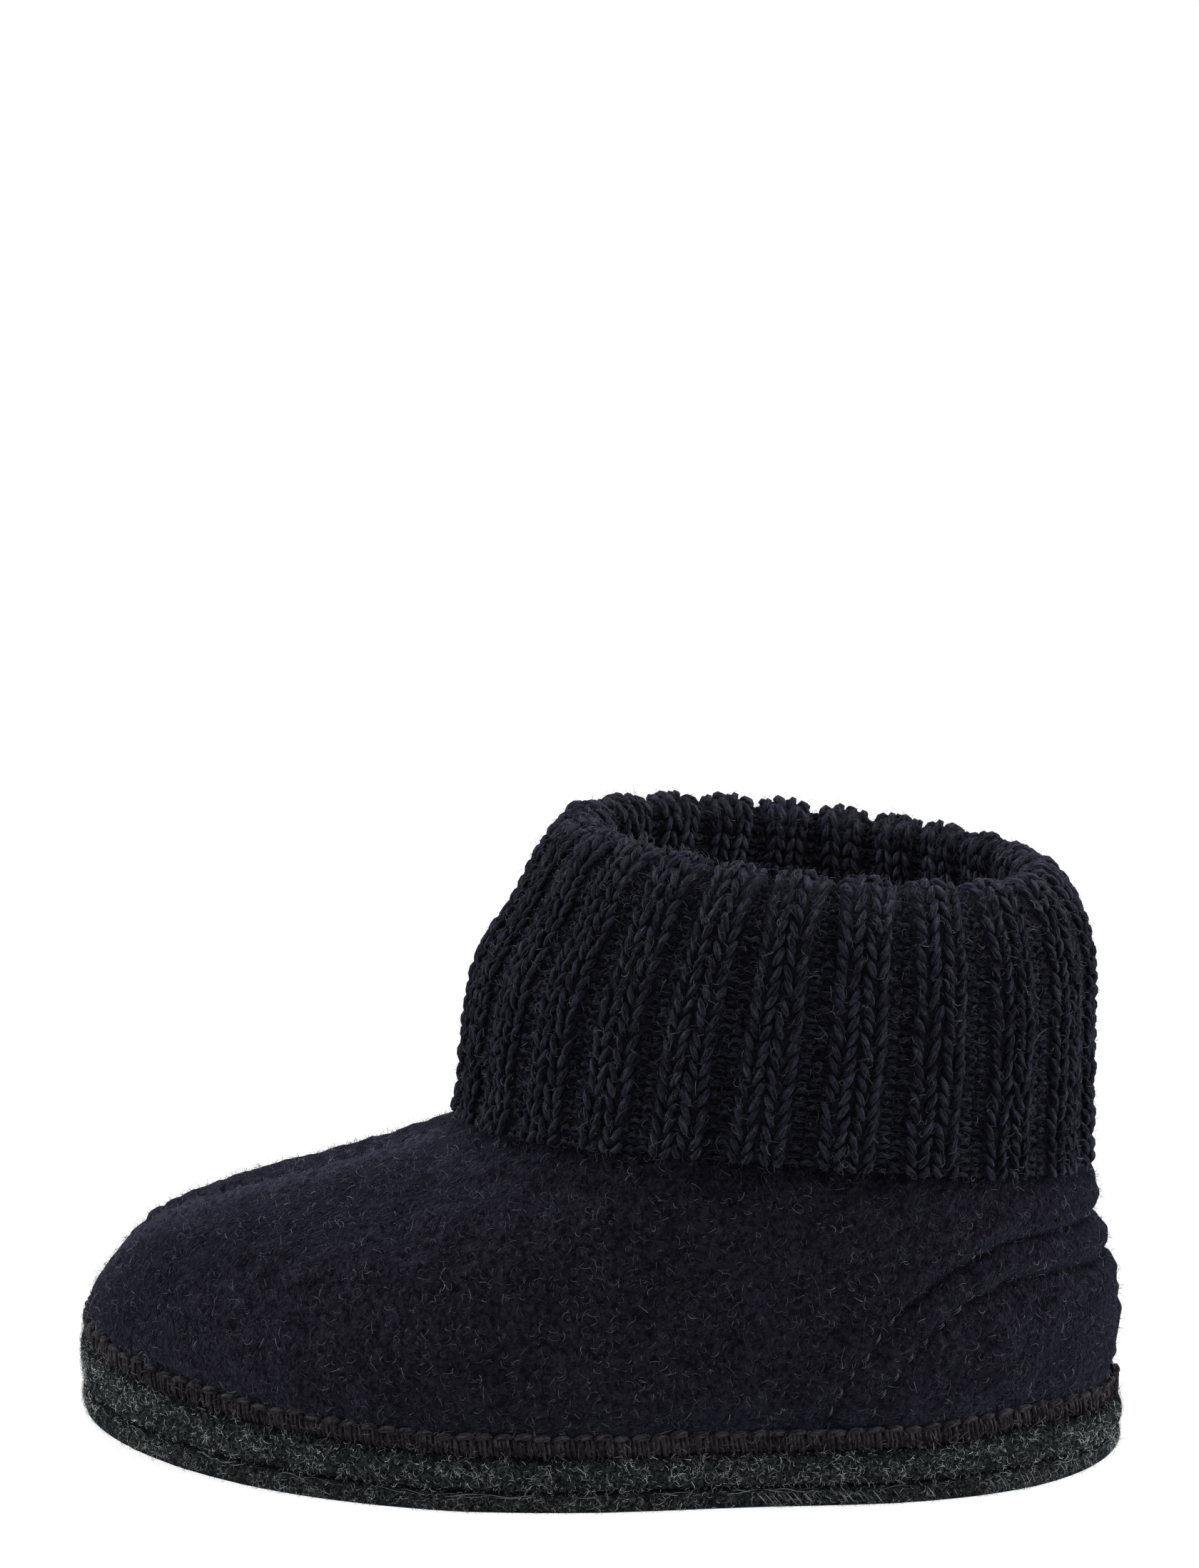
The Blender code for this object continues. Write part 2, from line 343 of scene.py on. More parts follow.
print("White in linear light:", linear("#ffffff"))

# %% [markdown]
# One recipe serves every wool surface. It could be a node group, but a function keeps the numbers in
# sight: two noises in real millimetres, a ramp of three colours, a bump and a sheen.

# %% A wool surface
# the streaks of the fibres, coarser than real ones, so that they show in the render
FIBRE_MM = 0.35


def wool(name, pit, nub, tip, nub_mm, fibre_share, bump_mm, sheen):
    """A wool surface: pits, nubs and paler tips follow one noise of that size, a finer noise on the
    grain adds the fibres, and both make the bump. The shade scales the colour: a random tone, painted
    shade in folds, gaps and creases, and painted light where it is above one. Sheen is the fuzz that
    catches light."""
    fuzz = {"Sheen Weight": sheen, "Sheen Roughness": 0.3, "Sheen Tint": linear("#97a0cc")}
    material, shader = plain_finish(name, {"Roughness": 1.0, "Specular IOR Level": 0.0, **fuzz})
    place = add_node(material, "ShaderNodeTexCoord", {}).outputs["Object"]
    grain = add_node(material, "ShaderNodeAttribute", {}, attribute_name="grain").outputs["Vector"]
    nubs = {"Scale": 1 / (nub_mm * MM), "Detail": 2.0, "Roughness": 0.55, "Distortion": 0.6}
    coarse = add_node(material, "ShaderNodeTexNoise", {"Vector": place, **nubs}).outputs["Fac"]
    streaks = {"Scale": 1 / (FIBRE_MM * MM), "Detail": 2.0, "Roughness": 0.6, "Distortion": 0.8}
    fine = add_node(material, "ShaderNodeTexNoise", {"Vector": grain, **streaks}).outputs["Fac"]
    fine_part = add_node(material, "ShaderNodeMath", {0: fine, 1: fibre_share}, operation="MULTIPLY")
    height = add_node(
        material,
        "ShaderNodeMath",
        {0: coarse, 1: 1 - fibre_share, 2: fine_part.outputs[0]},
        operation="MULTIPLY_ADD",
    ).outputs[0]
    ramp = add_node(material, "ShaderNodeValToRGB", {"Fac": height})
    ramp.color_ramp.elements[0].position = 0.40
    ramp.color_ramp.elements[0].color = linear(pit)
    ramp.color_ramp.elements[1].position = 0.63
    ramp.color_ramp.elements[1].color = linear(tip)
    middle = ramp.color_ramp.elements.new(0.48)
    middle.color = linear(nub)
    bump = add_node(
        material, "ShaderNodeBump", {"Strength": 0.9, "Distance": bump_mm * MM, "Height": height}
    ).outputs["Normal"]
    # the shade attribute, random tone with painted shade and painted light, multiplies the colour
    own = add_node(material, "ShaderNodeAttribute", {}, attribute_name="shade").outputs["Fac"]
    colour = add_node(
        material, "ShaderNodeVectorMath", {0: ramp.outputs["Color"], "Scale": own}, operation="SCALE"
    ).outputs["Vector"]
    material.node_tree.links.new(colour, shader.inputs["Base Color"])
    material.node_tree.links.new(bump, shader.inputs["Normal"])
    return material


# %% [markdown]
# A single fibre is too thin for a pattern, so each has one colour between a dark and a pale one. The
# colours of all the wools follow, each with what it gives the eye.

# %% Single fibres and the colours
DULL = {"Roughness": 0.6, "Specular IOR Level": 0.2}


def loose_fibre(name, dark, pale):
    """Single fibres: a colour between a dark and a pale one, read from each fibre's own shade."""
    material, shader = plain_finish(name, DULL)
    own = add_node(material, "ShaderNodeAttribute", {}, attribute_name="shade").outputs["Fac"]
    ramp = add_node(material, "ShaderNodeValToRGB", {"Fac": own})
    ramp.color_ramp.elements[0].color = linear(dark)
    ramp.color_ramp.elements[1].color = linear(pale)
    material.node_tree.links.new(ramp.outputs["Color"], shader.inputs["Base Color"])
    return material


# navy felt, nearly black in its pits, with a blue fuzz along its outlines
boiled_wool = wool("boiled_wool", "#08070a", "#0f0e13", "#18171e", 1.0, 0.35, 1.8, 0.075)
# the cuff's soft yarn, with darker and paler fibres along its twist
rib_yarn = wool("rib_yarn", "#09090c", "#121216", "#20212a", 0.8, 0.7, 0.9, 0.055)
# painted shade between the stitches: the back of the knit, the same yarn darkened
rib_shadow = wool("rib_shadow", "#0c0c0f", "#131318", "#1a1a20", 0.9, 0.35, 0.8, 0.04)
# grey-green mixed felt, dark between its pale fibres
sole_felt = wool("sole_felt", "#050606", "#0f1212", "#232727", 0.7, 0.5, 1.4, 0.025)
# undyed footbed felt, warmer and paler than the rest
inner_felt = wool("inner_felt", "#141415", "#20201f", "#353533", 1.2, 0.35, 1.2, 0.05)
# brown-grey sewing yarn of the welt, its plies seen as streaks
seam_yarn = wool("seam_yarn", "#0d0b0d", "#191719", "#2b282b", 0.6, 0.65, 0.6, 0.06)
# single fibres, from nearly black to a pale blue-grey, grey-green or brown-grey glint
wool_fibre = loose_fibre("wool_fibre", "#0e0d12", "#44464f")
sole_fibre = loose_fibre("sole_fibre", "#121415", "#999fa0")
seam_fibre = loose_fibre("seam_fibre", "#181416", "#504a4d")
print("Wool finishes:", [material.name for material in (boiled_wool, rib_yarn, sole_felt, seam_yarn)])

# %% [markdown]
# ## The two felt soles and the insole
# Each sole is a slab of pressed felt with a rounded edge. It could be an extruded outline with a bevel;
# here a few insets and heights are joined by a smooth curve, so that the edge bulges like felt, and the
# rows run on inwards over the top and the bottom until they meet in a line under the foot. In the
# photograph the edge is thicker at the toe and beside the heel than in the solids, so it is stretched
# up there.

# %% Soles from layers
Layer = namedtuple("Layer", "inset height")
OUTSOLE = (
    Layer(3.0, 0.0),
    Layer(1.1, 0.0),
    Layer(0.4, 0.6),
    Layer(0.2, 1.9),
    Layer(0.6, 3.05),
    Layer(3.0, 3.3),
)
MIDSOLE = (
    Layer(3.0, 3.7),
    Layer(0.6, 3.95),
    Layer(0.1, 5.1),
    Layer(0.0, 7.6),
    Layer(0.9, 9.2),
    Layer(3.0, 9.3),
)
INSOLE = (Layer(10.0, 9.5), Layer(8.0, 9.6), Layer(7.7, 10.9), Layer(8.4, 12.1), Layer(11.0, 12.3))
EDGE_COLUMNS = 420
GROOVE, WELT_FOOT = 3.5, 9.3
TOE_LIFT, LIFT_START, LIFT_POWER, FLOOR_EDGE = 4.4, 16.0, 1.3, 0.6
HEEL_SWELL, SWELL_X, SWELL_SPREAD = 1.5, -73.0, 10.0
BACK_DROP, DROP_X, DROP_SPREAD = 1.0, -91.0, 5.0


def edge_lift(x):
    """How much thicker the sole's edge is than in the middle, in mm: it grows towards the toe by a
    power of the way there, swells beside the heel and drops a little at its back."""
    toe = TOE_LIFT * np.clip((x - LIFT_START) / (SOLE_TOE - LIFT_START), 0, 1) ** LIFT_POWER
    return toe + HEEL_SWELL * bell(x, SWELL_X, SWELL_SPREAD) - BACK_DROP * bell(x, DROP_X, DROP_SPREAD)


def sole_point(inset, height, angle):
    """One point of a sole: the sole's outline drawn in by an inset, at a height above the sprung floor.
    Near the edge it is stretched up by the lift."""
    x, y = plan(
        angle,
        SOLE_TOE - inset,
        SOLE_HEEL + inset,
        SOLE_SIDE - inset,
        SOLE_SIDE - inset,
        SOLE_WIDEST,
        SOLE_FRONT_POWER,
        1.0,
    )
    share = np.clip((height - FLOOR_EDGE) / (WELT_FOOT - FLOOR_EDGE), 0, 1) * np.clip(2 - inset / 3, 0, 1)
    return np.stack(np.broadcast_arrays(x, y, height + spring(x) + share * edge_lift(x)), axis=-1)


def sole_grid(layers, rows):
    """Rows round a sole, from the middle of its underside over the edge to the middle of its top. The
    cover rows draw every point in towards a line along the foot."""
    where = np.linspace(0, len(layers) - 1, rows)[:, None]
    inset, height = np.moveaxis(through(layers, where), -1, 0)
    angle = np.linspace(0, TURN, EDGE_COLUMNS, endpoint=False)[None, :]
    edge = sole_point(inset, height, angle)
    line_x = np.clip(edge[:, :, :1], -62.0, 48.0)
    line = np.concatenate([line_x, centre_line(line_x), edge[:, :, 2:]], axis=-1)
    share = np.array([0.0, 0.45, 0.8])[:, None, None]
    under = line[:1] + share * (edge[:1] - line[:1])
    over = line[-1:] + share[::-1] * (edge[-1:] - line[-1:])
    under[..., 2] = layers[0].height + spring(under[..., 0])
    over[..., 2] = layers[-1].height + spring(over[..., 0])
    return np.concatenate([under, edge, over])


def felt_slab(layers, rows, roughness, seed):
    """A sole with small lumps on its edge, kept flat where it meets the floor, with painted shade in
    the groove between the two layers and under the welt. Returns the grid, its normals and its shades."""
    grid = sole_grid(layers, rows)
    normals = grid_normals(grid)
    lumps = 0.6 * soft_noise(grid, 2.6, seed) + 0.4 * soft_noise(grid, 1.2, seed + 1)
    height = grid[..., 2] - spring(grid[..., 0])
    stretch = 1 + edge_lift(grid[..., 0]) / (WELT_FOOT - FLOOR_EDGE)
    height = np.where(height > FLOOR_EDGE, FLOOR_EDGE + (height - FLOOR_EDGE) / stretch, height)
    fade = np.clip((height - layers[0].height) / 0.5, 0, 1)
    # painted shade: the groove and the strip under the welt are darkened, as shade falls there
    groove = bell(height, GROOVE, 0.5)
    under_welt = bell(height, WELT_FOOT, 0.8)
    shade = 1 - 0.45 * groove - 0.6 * under_welt
    return grid + (roughness * lumps * fade)[..., None] * normals, normals, shade


slabs = {}
for name, layers, rows, roughness, seed, slot, material in (
    ("outsole", OUTSOLE, 15, 0.22, 11, "sole_felt", sole_felt),
    ("midsole", MIDSOLE, 19, 0.25, 17, "sole_felt", sole_felt),
    ("insole", INSOLE, 9, 0.1, 23, "insole_felt", inner_felt),
):
    slabs[name] = felt_slab(layers, rows, roughness, seed)
    add_piece(f"{name}_felt", sheet(slabs[name][0], slabs[name][2]), material, (name,))

# %% [markdown]
# The grey-green felt is a mix of dark and whitish fibres, and the whitish ones curl on its cut edge. They
# are what the eye reads as felt, so they are real ribbons and not only a pattern. A few longer strands
# lie along the groove, and at the heel the lower layer is combed into slanting strokes. The fibres at
# toe and heel are painted a little paler than the sides, as painted light from the lamps at both ends.

# %% Fibres of the soles
# painted light: how much paler the fibres are painted at toe and heel
END_LIGHT = 0.4
sole_parts = []
for name, rows, count, most, seed in (
    ("midsole", slice(6, -5), 11000, 0.76, 31),
    ("outsole", slice(7, -5), 7000, 0.56, 37),
):
    grid, normals, shade = (part[rows] for part in slabs[name])
    clumps = 0.5 + 0.45 * soft_noise(grid, 2.6, seed) + 0.6 * soft_noise(grid, 1.2, seed + 2)
    roots, out = scatter(grid, normals, count, seed, np.clip(clumps, 0.04, 1) * shade)
    points, faces, tone, grain = fibres(roots, out, 1.1, 2.4, 0.35, 0.065, 3, seed + 1)
    # painted light: fibres grow paler towards toe and heel, where the end lamps catch the sole
    end_light = 1 + END_LIGHT * (points[:, 0] / SOLE_TOE) ** 4
    sole_parts.append((points, faces, most * end_light * tone**2.2, grain))
rng = np.random.default_rng(39)
along = rng.uniform(0, TURN, (120, 1)) + np.linspace(0, 1, 9) * rng.uniform(0.03, 0.08, (120, 1))
wave = 0.3 * np.sin(along * 70 + TURN * rng.random((120, 1)))
strand_radius = 0.08 * np.sin(np.linspace(0, np.pi, 9))
groove_strands = sole_point(0.35, 3.1 + wave, along)
strand_tone = rng.uniform(0.02, 0.3, (120, 1))
sole_parts.append(tubes(groove_strands, strand_radius, [0.0, 0.0, 1.0], 3, strand_tone))
fall = np.linspace(0, 1, 5)
stroke_turn = rng.uniform(1.9, TURN - 1.9, (110, 1)) + 0.022 * fall
strokes = sole_point(0.3 - 0.15 * np.sin(np.pi * fall), 2.9 - 2.3 * fall, stroke_turn)
stroke_radius = 0.1 * np.sin(np.pi * fall)
sole_parts.append(tubes(strokes, stroke_radius, [0.0, 0.0, 1.0], 3, rng.uniform(0.02, 0.35, (110, 1))))
points, faces, tone, grain = join(sole_parts)
points[:, 2] = np.maximum(points[:, 2], 0.05)
add_piece("sole_fibres", (points, faces, tone, grain), sole_fibre)

# %% [markdown]
# ## The sewn welt
# A brown-grey yarn is sewn over the joint of sole and upper. Seen close, each stitch has a rounded bar
# along the top and two strands that go down into the sole. One stitch is a few tubes of a few dozen
# faces, and its copies are laid at even steps round the outline.

# %% Stitches of the welt
STITCH_PITCH = 3.2


def stations(inset, pitch):
    """Even places round the sole's outline at an inset: points, and directions along it and out."""
    angle = np.linspace(0, TURN, 4000, endpoint=False)
    ring = sole_point(inset, WELT_FOOT, angle)
    steps = np.linalg.norm(np.roll(ring, -1, axis=0) - ring, axis=1)
    length = np.append(0, np.cumsum(steps))
    count = int(round(length[-1] / pitch))
    turn = np.interp(np.arange(count) * length[-1] / count, length, np.append(angle, TURN))
    spot = sole_point(inset, WELT_FOOT, turn)
    ahead = sole_point(inset, WELT_FOOT, turn + 0.002) - sole_point(inset, WELT_FOOT, turn - 0.002)
    ahead = ahead / np.linalg.norm(ahead, axis=1, keepdims=True)
    out = np.cross(ahead, [0.0, 0.0, 1.0])
    return spot, ahead, out


def welt_tubes(along, outward, upward, radius, sides, shade, seed):
    """One kind of tube repeated at each station: its path is given as steps along, outward and upward in
    mm, each stitch moved a little by chance as hand tension would."""
    spot, ahead, out = stations(1.6, STITCH_PITCH)
    rng = np.random.default_rng(seed)
    jitter = rng.normal(scale=0.16, size=(3, len(spot), 1))
    path = spot[:, None] + (along + jitter[0])[..., None] * ahead[:, None]
    path = path + (outward + 0.6 * jitter[1])[..., None] * out[:, None]
    path[..., 2] += upward - WELT_FOOT + jitter[2]
    size = radius * (1 + rng.normal(scale=0.07, size=(len(spot), 1)))
    return tubes(path, size, out[:, None], sides, shade)


bar = np.array([-1.5, -1.3, -0.7, 0.0, 0.7, 1.3, 1.5])
# painted light and shade: each bar is painted paler along its middle and darker at its ends
bar_tube = welt_tubes(
    bar,
    0.5 - 0.5 * (bar / 1.5) ** 4,
    12.8 - 0.5 * (bar / 1.5) ** 4 + 0.16 * bar,
    np.array([0.0, 0.4, 0.56, 0.6, 0.56, 0.4, 0.0]),
    7,
    1.15 - 0.4 * (bar / 1.5) ** 2,
    41,
)
drop = np.linspace(0, 1, 5)
strand_radius = np.array([0.3, 0.36, 0.38, 0.34, 0.0])
strand_out = 0.5 + 0.45 * drop - 0.8 * drop**3
strand_height = 12.7 - 3.7 * drop
# painted shade: the strands darken towards their lower ends, above the gap under the welt
strand_tubes = [
    welt_tubes(place + 0.45 * drop, strand_out, strand_height, strand_radius, 5, 1 - 0.5 * drop**2, seed)
    for place, seed in ((-1.35, 43), (-0.6, 44), (0.15, 45), (0.9, 46))
]
bed_where = np.linspace(0, 1, 9)[:, None] * TURN
bed_angle = np.linspace(0, TURN, 300, endpoint=False)[None, :]
bed = sole_point(2.4 - 1.45 * np.cos(bed_where), 11.0 + 1.8 * np.sin(bed_where), bed_angle)[:-1]
# painted shade: the bed that shows between the stitches is darkened
welt_part = join([sheet(bed, 0.7, close_rows=True), bar_tube, *strand_tubes])
add_piece("welt_stitches", welt_part, seam_yarn, ("welt",))

fuzz_angle = np.linspace(0, TURN, 600, endpoint=False)[None, :]
fuzz_rows = np.linspace(0, 1, 6)[:, None]
fuzz_grid = sole_point(0.5 + 1.0 * fuzz_rows**2, 9.2 + 4.0 * fuzz_rows, fuzz_angle)
roots, out = scatter(fuzz_grid, grid_normals(fuzz_grid), 2000, 48)
points, faces, tone, grain = fibres(roots, out, 1.6, 1.4, 0.45, 0.07, 4, 49)
add_piece("welt_fibres", (points, faces, tone**2, grain), seam_fibre)

# %% [markdown]
# ## The boiled wool upper
# The upper is one thick felt shell. Its outlines come from the table, a smooth curve joins them, and the
# wall is added inwards, as an offset along the normals.

# %% Outlines of the upper
Ring = namedtuple("Ring", "height toe heel lateral medial widest front_power lean foot")
UPPER_RINGS = (
    Ring(10.6, 87.0, -86.4, 33.0, 33.0, 5.0, 2.5, 0.0, 1.0),
    Ring(14.4, 89.7, -88.6, 35.0, 35.0, 5.0, 2.45, 0.0, 1.0),
    Ring(18.6, 89.2, -89.2, 35.8, 35.8, 5.0, 2.4, 0.0, 0.9),
    Ring(25.0, 85.2, -89.3, 35.9, 35.8, 4.0, 2.3, 0.0, 0.75),
    Ring(31.5, 80.0, -88.6, 35.6, 35.3, 2.0, 2.2, 0.0, 0.55),
    Ring(34.8, 76.2, -87.1, 35.3, 34.9, 0.0, 2.15, 0.0, 0.45),
    Ring(38.3, 70.4, -86.9, 35.0, 34.5, -2.0, 2.1, 0.0, 0.35),
    Ring(41.8, 61.6, -85.2, 34.6, 34.1, -6.0, 2.05, 0.0, 0.3),
    Ring(45.2, 51.6, -85.6, 34.2, 33.6, -10.0, 2.0, 0.0, 0.2),
    Ring(48.8, 38.8, -84.8, 33.6, 33.1, -16.0, 2.0, 0.01, 0.15),
    Ring(51.4, 29.6, -82.6, 33.1, 32.8, -22.0, 2.0, 0.025, 0.1),
    Ring(53.5, 24.4, -80.7, 32.8, 32.6, -26.0, 2.0, 0.04, 0.0),
    Ring(55.8, 20.4, -80.2, 32.5, 32.4, -28.0, 2.0, 0.05, 0.0),
    Ring(58.8, 18.4, -80.2, 32.2, 32.2, -29.0, 2.0, 0.06, 0.0),
    Ring(63.0, 17.6, -80.0, 32.0, 32.0, -30.0, 2.0, 0.07, 0.0),
)


def upper_point(where, angle):
    """A point of the felt's outer face: the plan of the outline at that row, leaning back and sprung with
    the sole."""
    row = Ring(*np.moveaxis(through(UPPER_RINGS, where), -1, 0))
    x, y = plan(angle, row.toe, row.heel, row.lateral, row.medial, row.widest, row.front_power, row.foot)
    z = row.height + row.lean * (x - LEAN_AXIS) + row.foot * spring(x)
    return np.stack(np.broadcast_arrays(x, y, z), axis=-1)


def heel_point(x, height, side):
    """A point of the heel found from x and height: the plan's formula turned round gives its angle."""
    where = np.interp(height, [row.height for row in UPPER_RINGS], np.arange(len(UPPER_RINGS)))
    row = Ring(*np.moveaxis(through(UPPER_RINGS, where), -1, 0))
    share = np.clip((row.widest - x) / (row.widest - row.heel), 0, 1) ** (BACK_POWER / 2)
    return upper_point(where, np.pi - side * np.arccos(share))


print("Upper:", len(UPPER_RINGS), "outlines up to", UPPER_RINGS[-1].height, "mm")

# %% [markdown]
# Two sewn rows hold the heel counter. Each is a line of places read off the photograph, along the slipper
# and up, and laid on the felt on both sides of the heel.

# %% Rows of the counter
COUNTER_UPPER = np.array(
    [(-39.2, 13.0), (-40.3, 16.4), (-41.9, 19.8), (-43.8, 23.1), (-46.3, 26.0), (-48.5, 29.7)]
    + [(-50.7, 32.4), (-57.0, 37.2), (-61.5, 40.0), (-68.4, 42.9), (-76.0, 42.8), (-83.0, 42.2)]
    + [(-85.4, 41.9)]
)
COUNTER_LOWER = np.array(
    [(-46.3, 12.6), (-47.1, 15.3), (-48.7, 19.0), (-50.6, 21.7), (-52.7, 24.7), (-55.1, 27.3)]
    + [(-57.4, 29.5), (-59.6, 31.6), (-62.8, 34.0), (-66.6, 35.2), (-70.4, 36.4), (-78.0, 36.2)]
    + [(-84.5, 35.0), (-87.4, 34.6)]
)
COUNTER_ROWS = (COUNTER_UPPER, COUNTER_LOWER)


def counter_line(table):
    """A sewn row from the sole up the lateral side, round the heel and down the medial side, as points
    on the felt, evenly and closely spaced."""
    line = through(table, np.linspace(0, len(table) - 1, 160))
    lateral = heel_point(line[:, 0], line[:, 1], 1)
    medial = heel_point(line[:, 0], line[:, 1], -1)
    whole = np.concatenate([lateral, medial[::-1]])
    run = np.append(0, np.cumsum(np.linalg.norm(np.diff(whole, axis=0), axis=1)))
    even = np.linspace(0, run[-1], 600)
    return np.stack([np.interp(even, run, whole[:, axis]) for axis in range(3)], axis=-1)


def distance_to(points, line):
    """Distance from each point to the nearest point of a line, by the squares of both."""
    square = (points**2).sum(-1)[:, None] + (line**2).sum(-1)[None] - 2 * points @ line.T
    return np.sqrt(np.clip(square, 0, None).min(axis=1))


print("Counter rows:", [len(counter_line(table)) for table in COUNTER_ROWS], "points")

# %% [markdown]
# Two things shape the felt by hand: the sewn ridge down the middle of the vamp with its row of pits, and
# the counter's rows, which pull soft troughs into it. Sculpting would do it too; bell curves across each
# line can be measured and corrected.

# %% Relief of the felt
Band = namedtuple("Band", "middle spread")
NEAR_ROLL, FAR_ROLL, VALLEY = Band(4.4, 3.0), Band(-4.6, 2.8), Band(-0.2, 1.5)
LIT_BAND, SHADED_FLANKS, PIT_SHADE = Band(2.6, 4.8), Band(16.0, 8.0), Band(-0.4, 1.7)
TUCK_HEIGHT, TUCK_SPREAD = 13.0, 3.5
SEAM_TOE_END, SEAM_COLLAR_END, PIT_PITCH = 82.0, 24.0, 3.6
HEM_HEIGHT, HEM_LEAN, HEM_LIFT, HEM_SHADOW = 55.0, 0.063, 5.4, 2.6


def felt_relief(grid):
    """How far the felt stands out, in mm, and its shade: wide and small lumps with a random tone, the two
    puffed edges of the vamp's seam with a valley of pits between them, and the counter's troughs, which
    deepen towards the heel, where the felt lies a little flatter. The rest of the shade is painted light
    and shade: a painted highlight along the seam's top, painted shade on the vamp's flanks, in the
    seam's pits, in the counter's creases and over the back of the heel, and a painted shadow under the
    cuff's hem. The felt is tucked in behind the welt where the sole's edge is thicker."""
    small_lumps = soft_noise(grid, 1.9, 7)
    relief = 0.3 * soft_noise(grid, 11.0, 3) + 0.34 * soft_noise(grid, 4.0, 5) + 0.32 * small_lumps
    shade = 1 + 0.12 * soft_noise(grid, 5.0, 8) + 0.12 * small_lumps
    x, z = grid[..., 0], grid[..., 2]
    lift = np.clip(edge_lift(x), 0, None)
    relief = relief - 0.24 * lift * bell(z - spring(x) - lift, TUCK_HEIGHT, TUCK_SPREAD)
    off = grid[..., 1] - centre_line(x)
    vamp = np.clip((x - SEAM_COLLAR_END) / 4, 0, 1) * np.clip((SEAM_TOE_END + 8 - x) / 12, 0, 1)
    beat = (0.5 + 0.5 * np.cos(TURN * x / PIT_PITCH + 1.7 * soft_noise(grid, 6.0, 9))) ** 3
    near_roll = 0.8 * bell(off, *NEAR_ROLL) * (1 - 0.25 * beat)
    far_roll = 0.45 * bell(off, *FAR_ROLL) * (1 - 0.7 * beat)
    valley = bell(off, *VALLEY) * (0.35 + 0.55 * beat)
    relief = relief + vamp * (near_roll + far_roll - valley)
    # painted highlight: a pale band along the seam's top, where light from above grazes it
    lit_band = 1.3 * bell(off, *LIT_BAND, power=4)
    # painted shade on the vamp's flanks on both sides of the seam
    beside = 0.4 * bell(np.abs(off), *SHADED_FLANKS)
    # painted shade in the seam's pits
    pits = bell(off, *PIT_SHADE) * (0.7 + 1.5 * beat)
    shade = shade + vamp * (lit_band - beside - pits)
    hem = HEM_HEIGHT + HEM_LEAN * (x - LEAN_AXIS) + HEM_LIFT * (off / UPPER_RINGS[-1].lateral) ** 2
    # painted shadow under the cuff's hem
    shade = shade - 0.7 * bell(np.clip(hem - z, 0, None), 0, HEM_SHADOW)
    heel = (x < -34) & (z < 52)
    back = np.clip((-66 - x[heel]) / 16, 0, 1)
    # painted shade over the back of the heel
    shade[heel] -= 0.22 * back
    relief[heel] -= back * (0.35 + 0.4 * bell(z[heel], 42, 9))
    for table in COUNTER_ROWS:
        gap = distance_to(grid[heel], counter_line(table))
        trough = (0.35 + 0.55 * back) * bell(gap, 0, 0.7 + 0.4 * back)
        relief[heel] += (0.12 + 0.2 * back) * bell(gap, 3.0, 1.6) - trough
        # painted shade along the counter's creases, strongest higher up
        shade[heel] -= 0.65 * np.clip((z[heel] - 22) / 12, 0.2, 1) * bell(gap, 0, 0.75)
    return relief, np.clip(shade, 0.1, None)


# %% [markdown]
# The felt is one grid, finer at the toe, where the seam and the outline show most. The relief moves its
# outer face, and the inner face closes it into a wall.

# %% The felt surface
WALL, TOE_ROOM, TOE_TURN = 3.0, 26.0, 0.12
turn = np.linspace(0, TURN, 4001)
ring = upper_point(np.full_like(turn, 3.0), turn)
run = np.append(0, np.cumsum(np.linalg.norm(np.diff(ring, axis=0), axis=1)))
run = run + TOE_ROOM * (np.tanh(turn / TOE_TURN) + 1 + np.tanh((turn - TURN) / TOE_TURN))
UPPER_ANGLES = np.interp(np.linspace(0, run[-1], 400, endpoint=False), run, turn)
outer_rows = even_rows(upper_point, len(UPPER_RINGS) - 1, 0.0, 196)
felt_outer = upper_point(outer_rows[:, None], UPPER_ANGLES[None])
felt_normals = grid_normals(felt_outer)
felt_inner = (felt_outer - WALL * felt_normals)[::-8]
relief, felt_shade = felt_relief(felt_outer)
felt_outer = felt_outer + relief[..., None] * felt_normals
felt_grid = np.concatenate([felt_outer, felt_inner])
felt_shades = np.concatenate([felt_shade, np.ones(felt_inner.shape[:2])])
felt_part = sheet(felt_grid, felt_shades, close_rows=True)
add_piece("upper_felt", felt_part, boiled_wool, ("upper",))
print(f"Relief of the felt: {relief.min():.2f} to {relief.max():.2f} mm")

# %% [markdown]
# Short dark fibres stand out of the felt everywhere, and at the outline they make it soft. A few longer
# pale ones curl over it. They are ribbons again, about as fine as those of the sole.

# %% Fibres of the upper
felt_normals = grid_normals(felt_outer)
felt_parts = []
for count, length, curl, lift, width, segments, most, seed in (
    (9500, 1.1, 1.2, 0.85, 0.07, 3, 0.55, 51),
    (4300, 1.8, 2.0, 0.5, 0.075, 5, 1.0, 57),
    (40, 6.0, 3.0, 0.9, 0.07, 14, 0.8, 55),
):
    roots, out = scatter(felt_outer[8:-4], felt_normals[8:-4], count, seed)
    points, faces, tone, grain = fibres(roots, out, length, curl, lift, width, segments, seed + 1)
    felt_parts.append((points, faces, most * tone**1.5, grain))
add_piece("upper_fibres", join(felt_parts), wool_fibre)

# %% [markdown]
# The thread of the counter shows as small pale glints in the troughs, two thin strands for each stitch.
# Higher up the felt closes over it.

# %% Counter stitches
# a dull blue-grey thread, a little paler than the felt, so that it glints in the troughs
thread = plain_finish("counter_thread", {"Base Color": linear("#2b2c35"), **DULL})[0]
HEEL_MIDDLE = np.array([-20.0, 0.0, 24.0])
THREAD_TOP = 33.0


